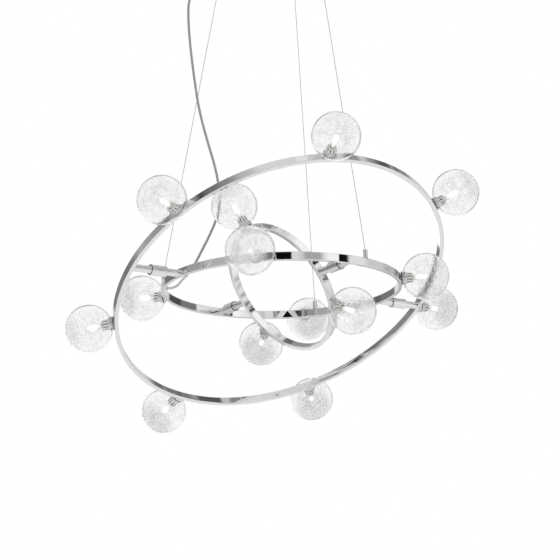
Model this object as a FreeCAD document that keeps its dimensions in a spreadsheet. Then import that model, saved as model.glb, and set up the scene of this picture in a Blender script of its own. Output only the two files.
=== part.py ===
import FreeCAD, Part
import Sketcher
import math
import os
from FreeCAD import Vector, Placement, Rotation

# Pendant light: three concentric ring tubes, fourteen glass globes, hung on three wires.
# Millimetres, +Z up. The origin is the middle of the canopy's top, on the ceiling.

doc = FreeCAD.newDocument("pendant_light")
sheet = doc.addObject("Spreadsheet::Sheet", "Params")

SIZES = [
    # rings
    ("outer_radius", 335.5, "outer ring, outside radius"),
    ("middle_radius", 234.0, "middle ring, outside radius"),
    ("inner_radius", 135.5, "inner ring, outside radius"),
    ("tube_height", 16.0, "ring tube, size along the ring's axis"),
    ("tube_depth", 8.0, "ring tube, radial size"),
    ("tube_wall", 1.5, "ring tube, wall"),
    ("tube_edge", 1.3, "ring tube, rounding of the long edges"),
    ("outer_tilt", 32.0, "outer ring, tilt at rest"),
    ("inner_tilt", 55.0, "inner ring, tilt at rest"),
    ("hang_height", 720.0, "ceiling to the rings' common centre"),
    ("hang_offset", 20.0, "rings' centre beside the canopy's axis, along Y"),
    ("harness_radius", 1.5, "bundle of leads in a ring"),
    ("harness_inset", 4.6, "bundle's middle inside the outside radius"),
    # lamps
    ("globe_radius", 45.0, "glass globe, outside radius"),
    ("globe_wall", 2.0, "glass globe, wall"),
    ("globe_offset", 46.8, "ring's outer face to the globe's centre"),
    ("neck_bore", 10.3, "glass neck, bore radius"),
    ("neck_outside", 12.3, "glass neck, outside radius"),
    ("neck_top", 9.5, "glass neck, end above the ring's face"),
    ("flange_radius", 13.0, "lamp cup, flange radius"),
    ("flange_height", 2.9, "lamp cup, flange thickness"),
    ("collar_radius", 10.0, "lamp cup, collar radius"),
    ("collar_top", 12.0, "lamp cup, collar end above the ring's face"),
    ("cup_bore", 8.5, "lamp cup, bore for the lampholder"),
    ("stem_radius", 4.0, "lamp cup, hollow stem in the ring's wall"),
    ("stem_bore", 2.5, "lamp cup, hole for the leads"),
    ("holder_body", 8.45, "lampholder, radius in the cup"),
    ("holder_head", 9.7, "lampholder, radius of the ceramic head"),
    ("holder_top", 21.8, "lampholder, end above the ring's face"),
    ("holder_recess", 6.4, "lampholder, radius of the bulb's recess"),
    ("bulb_base", 6.2, "bulb, radius of the base"),
    ("bulb_radius", 5.6, "bulb, radius of the capsule"),
    ("bulb_top", 51.5, "bulb, tip above the ring's face"),
    # pivots
    ("rod_radius", 7.0, "pivot stub, radius"),
    ("rod_bore", 2.5, "pivot stub, hole for the leads"),
    ("spigot_radius", 4.0, "pivot stub, spigot in the ring's wall"),
    ("barrel_radius", 10.25, "pivot barrel, radius"),
    ("barrel_length", 34.0, "pivot barrel, length with the bush's flange"),
    ("barrel_seat", 15.0, "pivot barrel, length that holds the fixed stub"),
    ("bush_radius", 8.4, "pivot bush, outside radius"),
    ("bush_flange", 1.1, "pivot bush, thickness of the black flange"),
    ("shoulder_radius", 9.3, "turning stub, radius of the thrust shoulder on the bush"),
    ("shoulder_width", 0.8, "turning stub, width of the thrust shoulder"),
    ("fit_gap", 0.05, "running clearance, radial"),
    ("grub_radius", 2.0, "grub screw, radius"),
    ("left_barrel_at", 258.0, "left barrel, start from the centre"),
    ("right_barrel_at", 265.0, "right barrel, start from the centre"),
    ("near_barrel_at", 165.0, "near barrel, start from the centre"),
    ("far_barrel_at", 169.0, "far barrel, start from the centre"),
    # suspension
    ("wire_radius", 0.6, "suspension wire, radius"),
    ("wire_spread", 111.0, "wire exits from the canopy's axis"),
    ("wire_angle", 39.0, "first wire's direction round the axis"),
    ("ring_grip_radius", 4.3, "ring grip, radius"),
    ("ring_grip_height", 16.5, "ring grip, height"),
    ("cord_radius", 2.5, "power cord, radius"),
    ("gland_angle", 151.2, "cord gland, direction round the middle ring"),
    ("gland_radius", 5.0, "cord gland, radius"),
    ("gland_length", 6.0, "cord gland, length inside the ring"),
    # ceiling end
    ("canopy_radius", 125.0, "canopy, outside radius"),
    ("canopy_height", 30.0, "canopy, height"),
    ("canopy_wall", 1.2, "canopy, sheet thickness"),
    ("bracket_length", 240.0, "bracket, length over the tabs"),
    ("bracket_width", 30.0, "bracket, width"),
    ("bracket_sheet", 2.5, "bracket, sheet thickness"),
    ("tab_drop", 16.0, "bracket, tab height"),
    ("slot_spacing", 140.0, "bracket, slots' distance"),
    ("slot_length", 22.0, "bracket, slot end to end"),
    ("slot_radius", 2.75, "bracket, half the slot's width"),
]
V = {}
for i, (alias, value, words) in enumerate(SIZES, start=1):
    sheet.set("A%d" % i, words)
    sheet.set("B%d" % i, str(value))
    sheet.setAlias("B%d" % i, alias)
    V[alias] = value
doc.recompute()


class Q:
    """A size with its number and its formula on the sheet."""

    def __init__(self, v, e):
        self.v, self.e = float(v), e

    @staticmethod
    def of(x):
        return x if isinstance(x, Q) else Q(x, "%r" % float(x))

    def __add__(self, o):
        o = Q.of(o)
        return Q(self.v + o.v, "(%s + %s)" % (self.e, o.e))

    def __radd__(self, o):
        return Q.of(o) + self

    def __sub__(self, o):
        o = Q.of(o)
        return Q(self.v - o.v, "(%s - %s)" % (self.e, o.e))

    def __rsub__(self, o):
        return Q.of(o) - self

    def __mul__(self, k):
        k = Q.of(k)
        return Q(self.v * k.v, "(%s * %s)" % (self.e, k.e))

    def __truediv__(self, k):
        k = Q.of(k)
        return Q(self.v / k.v, "(%s / %s)" % (self.e, k.e))


def q(alias):
    return Q(V[alias], "Params.%s" % alias)


def bind(obj, prop, size):
    size = Q.of(size)
    if "Params" in size.e:
        obj.setExpression(prop, size.e)
    else:
        setattr(obj, prop, size.v)


def origin_part(body, role):
    return [f for f in body.Origin.OriginFeatures if f.Role == role][0]


def new_body(label):
    body = doc.addObject("PartDesign::Body", label)
    body.Label = label
    if hasattr(body, "AllowCompound"):
        body.AllowCompound = True
    return body


def profile(body, name, role, points, arcs=None, loops=None):
    """A closed outline, or more than one, whose corners are bound to the sheet."""
    sk = body.newObject("Sketcher::SketchObject", name)
    sk.AttachmentSupport = (origin_part(body, role), [""])
    sk.MapMode = "FlatFace"
    arcs = arcs or {}
    for pts in [points] + (loops or []):
        pts = [(Q.of(x), Q.of(y)) for x, y in pts]
        first = sk.GeometryCount
        n = len(pts)
        mine = arcs if pts and pts[0][0].v == Q.of(points[0][0]).v and pts[0][1].v == Q.of(points[0][1]).v else {}
        for i in range(n):
            a = Vector(pts[i][0].v, pts[i][1].v, 0)
            b = Vector(pts[(i + 1) % n][0].v, pts[(i + 1) % n][1].v, 0)
            if i in mine:
                sk.addGeometry(Part.Arc(a, Vector(mine[i][0], mine[i][1], 0), b), False)
            else:
                sk.addGeometry(Part.LineSegment(a, b), False)
        ends = {}
        for i in range(n):
            g = sk.Geometry[first + i]
            a = Vector(pts[i][0].v, pts[i][1].v, 0)
            start_is_a = (g.StartPoint - a).Length < 1e-6
            ends[i] = (1, 2) if start_is_a else (2, 1)
        for i in range(n):
            j = (i + 1) % n
            sk.addConstraint(Sketcher.Constraint("Coincident", first + i, ends[i][1], first + j, ends[j][0]))
        for i, (x, y) in enumerate(pts):
            for kind, size in (("DistanceX", x), ("DistanceY", y)):
                if abs(size.v) < 1e-9 and "Params" not in size.e:
                    sk.addConstraint(Sketcher.Constraint("PointOnObject", first + i, ends[i][0], -2 if kind == "DistanceX" else -1))
                    continue
                if size.v >= 0:
                    k = sk.addConstraint(Sketcher.Constraint(kind, -1, 1, first + i, ends[i][0], size.v))
                    e = size.e
                else:
                    k = sk.addConstraint(Sketcher.Constraint(kind, first + i, ends[i][0], -1, 1, -size.v))
                    e = "-(%s)" % size.e
                if "Params" in e:
                    sk.setExpression("Constraints[%d]" % k, e)
        for i, a in mine.items():
            k = sk.addConstraint(Sketcher.Constraint("Radius", first + i, Q.of(a[2]).v))
            if "Params" in Q.of(a[2]).e:
                sk.setExpression("Constraints[%d]" % k, a[2].e)
    return sk


def revolve(body, sk, axis="V_Axis", angle=360.0):
    rev = body.newObject("PartDesign::Revolution", sk.Name + "_turned")
    rev.Profile = sk
    rev.ReferenceAxis = (sk, [axis])
    rev.Angle = angle
    sk.Visibility = False
    body.Tip = rev
    return rev


def polar(body, feature, count):
    pat = body.newObject("PartDesign::PolarPattern", feature.Name + "_ring")
    pat.Originals = [feature]
    pat.Axis = (origin_part(body, "Z_Axis"), [""])
    pat.Angle = 360
    pat.Occurrences = count
    body.Tip = pat
    return pat


def bore(body, name, radius, length, base, rotation, count=1):
    """A round hole cut by a cylinder; base is three sizes."""
    cyl = body.newObject("PartDesign::SubtractiveCylinder", name)
    bind(cyl, "Radius", radius)
    bind(cyl, "Height", length)
    base = [Q.of(c) for c in base]
    cyl.Placement = Placement(Vector(*[c.v for c in base]), rotation)
    for axis, c in zip("xyz", base):
        if "Params" in c.e:
            cyl.setExpression("Placement.Base.%s" % axis, c.e)
    body.Tip = cyl
    return polar(body, cyl, count) if count > 1 else cyl


ALONG_X = Rotation(Vector(0, 1, 0), 90)
CENTRE = Vector(0, V["hang_offset"], -V["hang_height"])
MIDDLE = Placement(CENTRE, Rotation())
OUTER = Placement(CENTRE, Rotation(Vector(1, 0, 0), -V["outer_tilt"]))
INNER = Placement(CENTRE, Rotation(Vector(0, -1, 0), -V["inner_tilt"]) * Rotation(Vector(0, 0, 1), -90))
nodes = {}


def turn(angle):
    return Placement(Vector(0, 0, 0), Rotation(Vector(0, 0, 1), angle))


def place(body, placement):
    body.Placement = placement
    nodes[body.Label] = body


# ---------------------------------------------------------------- rings

def ring(label, radius, placement, lamps, first_lamp):
    body = new_body(label)
    R, T, Hh, W = q(radius), q("tube_depth"), q("tube_height") / 2, q("tube_wall")
    minus_h = Q(-Hh.v, "(0 - %s)" % Hh.e)
    lo = Q(-(Hh - W).v, "(0 - %s)" % (Hh - W).e)
    sk = profile(
        body, label + "_section", "XZ_Plane",
        [(R - T, minus_h), (R, minus_h), (R, Hh), (R - T, Hh)],
        loops=[[(R - T + W, lo), (R - W, lo), (R - W, Hh - W), (R - T + W, Hh - W)]],
    )
    rev = revolve(body, sk)
    doc.recompute()
    edges = []
    for k, e in enumerate(rev.Shape.Edges, start=1):
        c = e.Curve
        if isinstance(c, Part.Circle) and abs(abs(c.Center.z) - Hh.v) < 1e-6:
            edges.append("Edge%d" % k)
    fil = body.newObject("PartDesign::Fillet", label + "_edges")
    fil.Base = (rev, edges)
    bind(fil, "Radius", q("tube_edge"))
    body.Tip = fil
    doc.recompute()
    return body


def lamp_holes(body, radius, count, first):
    """Holes in the outer wall for the lamp cups' stems."""
    if first:
        base = [q(radius) * math.cos(math.radians(first)) - q("tube_wall") * math.cos(math.radians(first)) * 1.2,
                q(radius) * math.sin(math.radians(first)) - q("tube_wall") * math.sin(math.radians(first)) * 1.2, 0]
        rot = Rotation(Vector(0, 0, 1), first) * ALONG_X
    else:
        base = [q(radius) - q("tube_wall") * 1.2, 0, 0]
        rot = ALONG_X
    return bore(body, body.Label + "_lamp_hole", q("stem_radius") + 0.02, 4.0, base, rot, count)


def wall_hole(body, name, start, angle, radius=None):
    """A hole through one wall, from start outwards by 4 mm, at an angle round the ring."""
    c, s = math.cos(math.radians(angle)), math.sin(math.radians(angle))
    return bore(body, name, radius or q("spigot_radius") + 0.02, 4.0, [start * c, start * s, 0],
                Rotation(Vector(0, 0, 1), angle) * ALONG_X)


outer = ring("outer_ring", "outer_radius", OUTER, 7, 0)
lamp_holes(outer, "outer_radius", 7, 0)
for k, ang in enumerate((0, 180)):
    wall_hole(outer, "outer_ring_pivot_hole_%d" % k, q("outer_radius") - q("tube_depth") - 1.5, ang)
place(outer, OUTER)

middle = ring("middle_ring", "middle_radius", MIDDLE, 4, 45)
lamp_holes(middle, "middle_radius", 4, 45)
for k, ang in enumerate((0, 180)):
    wall_hole(middle, "middle_ring_outer_pivot_hole_%d" % k, q("middle_radius") - q("tube_wall") * 1.5, ang)
for k, ang in enumerate((90, 270)):
    wall_hole(middle, "middle_ring_inner_pivot_hole_%d" % k, q("middle_radius") - q("tube_depth") - 1.5, ang)
wall_hole(middle, "middle_ring_gland_hole", q("middle_radius") - q("tube_depth") - 1.5, V["gland_angle"], Q.of(3.55))
grip_r = q("middle_radius") - q("tube_depth") / 2
c0, s0 = math.cos(math.radians(V["wire_angle"])), math.sin(math.radians(V["wire_angle"]))
bore(middle, "middle_ring_grip_hole", 2.02, 4.0, [grip_r * c0, grip_r * s0, q("tube_height") / 2 - q("tube_wall") * 1.4], Rotation(), 3)
place(middle, MIDDLE)

inner = ring("inner_ring", "inner_radius", INNER, 3, 30)
lamp_holes(inner, "inner_radius", 3, 30)
for k, ang in enumerate((0, 180)):
    wall_hole(inner, "inner_ring_pivot_hole_%d" % k, q("inner_radius") - q("tube_wall") * 1.5, ang)
place(inner, INNER)

# Bundles of leads that lie inside the ring tubes.
for label, radius, placement in (
    ("outer_ring_wiring", "outer_radius", OUTER * turn(6)),
    ("middle_ring_wiring", "middle_radius", MIDDLE * turn(157)),
    ("inner_ring_wiring", "inner_radius", INNER * turn(8)),
):
    body = new_body(label)
    sk = body.newObject("Sketcher::SketchObject", label + "_section")
    sk.AttachmentSupport = (origin_part(body, "XZ_Plane"), [""])
    sk.MapMode = "FlatFace"
    mid = q(radius) - q("harness_inset")
    sk.addGeometry(Part.Circle(Vector(mid.v, 0, 0), Vector(0, 0, 1), V["harness_radius"]), False)
    sk.addConstraint(Sketcher.Constraint("PointOnObject", 0, 3, -1))
    k = sk.addConstraint(Sketcher.Constraint("DistanceX", -1, 1, 0, 3, mid.v))
    sk.setExpression("Constraints[%d]" % k, mid.e)
    k = sk.addConstraint(Sketcher.Constraint("Radius", 0, V["harness_radius"]))
    sk.setExpression("Constraints[%d]" % k, "Params.harness_radius")
    revolve(body, sk, "V_Axis", 346.0)
    place(body, placement)

# ---------------------------------------------------------------- lamps
# A lamp stands on its ring's outer face, its axis along the ring's radius.


def lamp_group(label, radius, count, first, placement, points, arcs=None):
    """Identical pieces round a ring, each turned about its own radial axis."""
    body = new_body(label)
    R = q(radius)
    pts = [(R + x, y) for x, y in points]
    if arcs:
        arcs = {i: (R.v + a[0], a[1], a[2]) for i, a in arcs.items()}
    sk = profile(body, label + "_outline", "XZ_Plane", pts, arcs)
    rev = revolve(body, sk, "H_Axis")
    polar(body, rev, count)
    place(body, placement * turn(first))
    return body


LAMPS = (("outer", "outer_radius", 7, 0.0, OUTER), ("middle", "middle_radius", 4, 45.0, MIDDLE), ("inner", "inner_radius", 3, 30.0, INNER))
zero = Q.of(0)
for name, radius, count, first, placement in LAMPS:
    cup = [
        (Q(-V["tube_wall"], "(0 - Params.tube_wall)"), q("stem_bore")),
        (Q(-V["tube_wall"], "(0 - Params.tube_wall)"), q("stem_radius")),
        (zero, q("stem_radius")),
        (zero, q("flange_radius") - 0.5),
        (Q.of(0.5), q("flange_radius")),
        (q("flange_height") - 0.5, q("flange_radius")),
        (q("flange_height"), q("flange_radius") - 0.5),
        (q("flange_height"), q("collar_radius")),
        (q("collar_top"), q("collar_radius")),
        (q("collar_top"), q("cup_bore")),
        (Q.of(1.6), q("cup_bore")),
        (Q.of(1.6), q("stem_bore")),
    ]
    lamp_group("lamp_cups_" + name, radius, count, first, placement, cup)
    holder = [
        (Q.of(1.7), q("stem_bore")),
        (Q.of(1.7), q("holder_body")),
        (q("collar_top") + 0.05, q("holder_body")),
        (q("collar_top") + 0.05, q("holder_head")),
        (q("holder_top") - 0.8, q("holder_head")),
        (q("holder_top"), q("holder_head") - 0.8),
        (q("holder_top"), q("holder_recess")),
        (q("holder_top") - 5.0, q("holder_recess")),
        (q("holder_top") - 5.0, q("stem_bore")),
    ]
    lamp_group("lampholders_" + name, radius, count, first, placement, holder)
    foot = q("holder_top") - 4.9
    shoulder = q("holder_top") + 1.6
    tip = q("bulb_top")
    dome = tip - q("bulb_radius")
    r = V["bulb_radius"]
    bulb = [
        (foot, zero),
        (foot, q("bulb_base")),
        (shoulder, q("bulb_base")),
        (shoulder + 1.2, q("bulb_radius")),
        (dome, q("bulb_radius")),
        (tip, zero),
    ]
    lamp_group("bulbs_" + name, radius, count, first, placement, bulb,
               {4: (dome.v + r * math.sin(math.pi / 4), r * math.cos(math.pi / 4), q("bulb_radius"))})
    for k in range(count):
        label = "globe_%s_%d" % (name, k + 1)
        body = new_body(label)
        ball = body.newObject("PartDesign::AdditiveSphere", label + "_outside")
        bind(ball, "Radius", q("globe_radius"))
        hollow = body.newObject("PartDesign::SubtractiveSphere", label + "_inside")
        bind(hollow, "Radius", q("globe_radius") - q("globe_wall"))
        neck = body.newObject("PartDesign::AdditiveCylinder", label + "_neck")
        bind(neck, "Radius", q("neck_outside"))
        low = Q.of(4.5)
        bind(neck, "Height", q("neck_top") - low)
        neck.Placement = Placement(Vector(0, 0, low.v - V["globe_offset"]), Rotation())
        neck.setExpression("Placement.Base.z", (low - q("globe_offset")).e)
        hole = body.newObject("PartDesign::SubtractiveCylinder", label + "_mouth")
        bind(hole, "Radius", q("neck_bore"))
        bind(hole, "Height", q("neck_top") + 3.0)
        hole.Placement = Placement(Vector(0, 0, -V["globe_offset"] - 1.0), Rotation())
        hole.setExpression("Placement.Base.z", "0 - Params.globe_offset - 1.0")
        body.Tip = hole
        at = V[radius] + V["globe_offset"]
        place(body, placement * turn(first + 360.0 * k / count) * Placement(Vector(at, 0, 0), ALONG_X))

# ---------------------------------------------------------------- pivots
# Each pivot lies on a line from the common centre, here local +X.


def turned(label, placement, points, pattern=None):
    body = new_body(label)
    sk = profile(body, label + "_outline", "XZ_Plane", points)
    revolve(body, sk, "H_Axis")
    place(body, placement)
    return body


def stub(label, placement, face, side, end, groove=None, curved=0.0, bearing=None):
    """A hollow rod with a spigot in the ring's wall. side is +1 when it goes outwards from face.
    bearing is the outside of the bush that the thrust shoulder runs on."""
    face, end = Q.of(face), Q.of(end)
    rod, spig, hole = q("rod_radius"), q("spigot_radius"), q("rod_bore")
    start = face + curved * side
    inside = face - q("tube_wall") * side
    pts = [(inside, hole), (inside, spig), (start, spig), (start, rod)]
    if bearing is not None:
        wide, h1 = q("shoulder_radius"), bearing - 0.1 * side
        h0 = bearing - q("shoulder_width") * side - 0.1 * side
        pts += [(h0, rod), (h0, wide - 0.25), (h0 + 0.25 * side, wide), (h1, wide), (h1, rod)]
    if groove is not None:
        g0, g1 = groove - 2.3 * side, groove + 2.3 * side
        pts += [(g0, rod), (g0, rod - 1.5), (g1, rod - 1.5), (g1, rod)]
    pts += [(end - 0.4 * side, rod), (end, rod - 0.4), (end, hole)]
    return turned(label, placement, pts)


def barrel(label, placement, start, black_out):
    """The barrel and its black bush; black_out puts the bush at the end away from the centre."""
    s0, s1 = start, start + q("barrel_length")
    R, seat, br = q("barrel_radius"), q("barrel_seat"), q("bush_radius")
    rod = q("rod_radius")
    if black_out:
        a, m, b, k = s0, s0 + seat, s1 - q("bush_flange"), 1
    else:
        a, m, b, k = s1, s1 - seat, s0 + q("bush_flange"), -1
    pts = [(a, rod + 0.02), (a, R - 0.5), (a + 0.5 * k, R), (b, R), (b, br + 0.02), (m, br + 0.02), (m, rod + 0.02)]
    body = turned(label, placement, pts)
    clamp_at, keep_at = a + 6.0 * k, b - 7.0 * k
    tilt = Rotation(Vector(1, 0, 0), 40)
    for n, at in (("clamp", clamp_at), ("keep", keep_at)):
        bore(body, "%s_%s_hole" % (label, n), q("grub_radius") + 0.03, 9.0,
             [at, -3.0 * math.sin(math.radians(40)), 3.0 * math.cos(math.radians(40))], tilt)
    c = b + q("bush_flange") * k
    bush = [(m + 0.5 * k, rod + q("fit_gap")), (m + 0.5 * k, br), (b, br), (b, R - 0.15), (c - 0.3 * k, R - 0.15), (c, R - 0.45), (c, rod + q("fit_gap"))]
    return body, bush, clamp_at, keep_at


def screw_shape(at, tip, top):
    """A grub screw along the tilted radius at a distance along the pivot, with a hexagon socket."""
    r = V["grub_radius"]
    body = Part.makeCylinder(r, top - tip, Vector(0, 0, tip))
    hexagon = Part.makePolygon([Vector(1.1 * math.cos(math.radians(60 * i)), 1.1 * math.sin(math.radians(60 * i)), top - 1.6) for i in range(7)])
    socket = Part.Face(hexagon).extrude(Vector(0, 0, 3))
    s = body.cut(socket)
    s.Placement = Placement(Vector(at, 0, 0), Rotation(Vector(1, 0, 0), 40))
    return s


LEFT = MIDDLE * turn(180)
RIGHT = MIDDLE
NEAR = MIDDLE * turn(-90)
FAR = MIDDLE * turn(90)
O_IN = q("outer_radius") - q("tube_depth")
M_OUT = q("middle_radius")
M_IN = q("middle_radius") - q("tube_depth")
I_OUT = q("inner_radius")
screws = {"middle": [], "outer": [], "inner": []}


def pivot(name, placement, start, black_out, low_face, high_face, owner):
    """low_face is the ring's face nearer the centre, high_face the one further out."""
    body, bush, clamp_at, keep_at = barrel(name + "_barrel", placement, start, black_out)
    s0, s1 = start, start + q("barrel_length")
    seat = q("barrel_seat")
    if black_out:
        stub(name + "_fixed_stub", placement, low_face, 1, s0 + seat)
        stub(name + "_turning_stub", placement, high_face, -1, s0 + seat + 0.8, keep_at, 0.3, s1)
    else:
        stub(name + "_fixed_stub", placement, high_face, -1, s1 - seat, None, 0.3)
        stub(name + "_turning_stub", placement, low_face, 1, s1 - seat - 0.8, keep_at, 0.0, s0)
    screws[owner].append((placement, clamp_at.v, V["rod_radius"] + 0.02, V["barrel_radius"] - 0.35))
    screws[owner].append((placement, keep_at.v, V["rod_radius"] - 1.3, V["barrel_radius"] - 0.35))
    return bush, keep_at


def bush_hole(body, keep_at):
    bore(body, body.Label + "_hole", q("grub_radius") + 0.03, 9.0,
         [keep_at, -3.0 * math.sin(math.radians(40)), 3.0 * math.cos(math.radians(40))], Rotation(Vector(1, 0, 0), 40))


left_bush, left_keep = pivot("left", LEFT, q("left_barrel_at"), True, M_OUT, O_IN, "middle")
right_bush, right_keep = pivot("right", RIGHT, q("right_barrel_at"), False, M_OUT, O_IN, "outer")
near_bush, near_keep = pivot("near", NEAR, q("near_barrel_at"), True, I_OUT, M_IN, "inner")
far_bush, far_keep = pivot("far", FAR, q("far_barrel_at"), False, I_OUT, M_IN, "middle")
for label, placement, points, keep in (("right_bush", RIGHT, right_bush, right_keep), ("near_bush", NEAR, near_bush, near_keep),
                                       ("left_bush", LEFT, left_bush, left_keep), ("far_bush", FAR, far_bush, far_keep)):
    body = turned(label, placement, points)
    bush_hole(body, keep)
for owner, items in screws.items():
    solids = []
    for placement, at, tip, top in items:
        s = screw_shape(at, tip, top)
        s.Placement = placement * s.Placement
        solids.append(s)
    feature = doc.addObject("Part::Feature", "grub_screws_" + owner)
    feature.Label = "grub_screws_" + owner
    feature.Shape = Part.makeCompound(solids)
    nodes[feature.Label] = feature

# ---------------------------------------------------------------- ceiling end

canopy = new_body("canopy_cover")
CR, CH, CW = q("canopy_radius"), q("canopy_height"), q("canopy_wall")
down = Q(-V["canopy_height"], "(0 - Params.canopy_height)")
sk = profile(canopy, "canopy_outline", "XZ_Plane",
             [(Q.of(0), down), (CR - 3.0, down), (CR, down + 3.0), (CR, Q.of(-0.05)), (CR - CW, Q.of(-0.05)),
              (CR - CW, down + 3.0), (CR - 3.0 - CW * 0.4, down + CW), (Q.of(0), down + CW)],
             {1: (V["canopy_radius"] - 3 + 3 * math.sin(math.pi / 4), -V["canopy_height"] + 3 - 3 * math.cos(math.pi / 4), Q.of(3.0))})
revolve(canopy, sk)
wa = math.radians(V["wire_angle"])
bore(canopy, "canopy_grip_hole", 3.03, 6.0, [q("wire_spread") * math.cos(wa), q("wire_spread") * math.sin(wa), down - 2.0], Rotation(), 3)
CORD_OUT = Vector(-86.0, 62.0, -V["canopy_height"])
bore(canopy, "canopy_cord_hole", 5.03, 6.0, [CORD_OUT.x, CORD_OUT.y, down - 2.0], Rotation())
for k, sgn in enumerate((1, -1)):
    bore(canopy, "canopy_screw_hole_%d" % k, 2.05, 8.0, [sgn * (V["canopy_radius"] - 4.0), 0, -11.0], Rotation(Vector(0, 1, 0), 90 * sgn))
place(canopy, Placement())

bracket = new_body("ceiling_bracket")
BL, BW, BT = q("bracket_length") / 2, q("bracket_width") / 2, q("bracket_sheet")
sk = profile(bracket, "bracket_side", "XZ_Plane",
             [(Q(-BL.v, "(0 - %s)" % BL.e), Q.of(0)), (BL, Q.of(0)), (BL, Q(-V["tab_drop"], "(0 - Params.tab_drop)")),
              (BL - BT, Q(-V["tab_drop"], "(0 - Params.tab_drop)")), (BL - BT, Q(-BT.v, "(0 - %s)" % BT.e)),
              (Q(-(BL - BT).v, "(0 - %s)" % (BL - BT).e), Q(-BT.v, "(0 - %s)" % BT.e)),
              (Q(-(BL - BT).v, "(0 - %s)" % (BL - BT).e), Q(-V["tab_drop"], "(0 - Params.tab_drop)")),
              (Q(-BL.v, "(0 - %s)" % BL.e), Q(-V["tab_drop"], "(0 - Params.tab_drop)"))])
pad = bracket.newObject("PartDesign::Pad", "bracket_strap")
pad.Profile = sk
if hasattr(pad, "SideType"):
    pad.SideType = "Symmetric"
else:
    pad.Midplane = True
bind(pad, "Length", q("bracket_width"))
sk.Visibility = False
bracket.Tip = pad
doc.recompute()
for k, sgn in enumerate((1, -1)):
    # a slot is a row of three overlapping round cuts and a straight one between them
    half = q("slot_length") / 2 - q("slot_radius")
    at = q("slot_spacing") / 2 * sgn
    for n, off in enumerate((half * -1.0, half)):
        bore(bracket, "bracket_slot_%d_%d" % (k, n), q("slot_radius"), 6.0, [at + off, 0, -4.0], Rotation())
    box = bracket.newObject("PartDesign::SubtractiveBox", "bracket_slot_%d_middle" % k)
    bind(box, "Length", half * 2.0)
    bind(box, "Width", q("slot_radius") * 2.0)
    box.Height = 6.0
    base = at - half
    box.Placement = Placement(Vector(base.v, -V["slot_radius"], -4.0), Rotation())
    box.setExpression("Placement.Base.x", base.e)
    box.setExpression("Placement.Base.y", "0 - Params.slot_radius")
    bracket.Tip = box
    bore(bracket, "bracket_tab_hole_%d" % k, 1.65, 8.0, [sgn * (V["bracket_length"] / 2 - 5.0), 0, -11.0], Rotation(Vector(0, 1, 0), 90 * sgn))
bore(bracket, "bracket_cable_hole", 7.0, 6.0, [0, 0, -4.0], Rotation())
place(bracket, Placement())

# Side screws: a shank that threads into the tab and a domed head against the pan's wall.
screw_group = []
for sgn in (1, -1):
    shank = Part.makeCylinder(1.6, 9.0, Vector(V["canopy_radius"] - 8.8, 0, -11.0), Vector(1, 0, 0))
    head = Part.makeCylinder(3.6, 2.4, Vector(V["canopy_radius"] + 0.1, 0, -11.0), Vector(1, 0, 0))
    head = head.makeFillet(1.0, [e for e in head.Edges if isinstance(e.Curve, Part.Circle) and e.Curve.Center.x > V["canopy_radius"] + 2.0])
    slot = Part.makeBox(1.2, 8.0, 0.8, Vector(V["canopy_radius"] + 1.6, -4.0, -11.4))
    s = shank.fuse(head).cut(slot).removeSplitter()
    s.Placement = Placement(Vector(0, 0, 0), Rotation(Vector(0, 0, 1), 0 if sgn > 0 else 180))
    screw_group.append(s)
feature = doc.addObject("Part::Feature", "canopy_screws")
feature.Label = "canopy_screws"
feature.Shape = Part.makeCompound(screw_group)
nodes["canopy_screws"] = feature

block = new_body("terminal_block")
b1 = block.newObject("PartDesign::AdditiveBox", "terminal_body")
b1.Length, b1.Width, b1.Height = 30.0, 18.0, 11.0
b1.Placement = Placement(Vector(16.0, -9.0, -2.6 - 11.0), Rotation())
block.Tip = b1
for k in range(3):
    bore(block, "terminal_wire_hole_%d" % k, 1.8, 20.0, [21.0 + 10.0 * k, -10.0, -8.0], Rotation(Vector(1, 0, 0), -90))
    bore(block, "terminal_screw_hole_%d" % k, 1.6, 4.0, [21.0 + 10.0 * k, -4.5, -14.0], Rotation())
place(block, Placement())


def turned_z(label, points, placement):
    body = new_body(label)
    sk = profile(body, label + "_outline", "XZ_Plane", points)
    revolve(body, sk, "V_Axis")
    place(body, placement)
    return body


# Cord grip in the pan's bottom; the cord runs through it.
turned_z("canopy_cord_grip",
         [(q("cord_radius") + 0.05, Q.of(-12.0)), (Q.of(3.4), Q.of(-12.0)), (Q.of(6.4), Q.of(-5.0)), (Q.of(6.4), Q.of(-0.02)), (Q.of(5.0), Q.of(-0.02)),
          (Q.of(5.0), Q.of(6.0)), (q("cord_radius") + 0.05, Q.of(6.0))],
         Placement(CORD_OUT, Rotation()))

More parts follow.
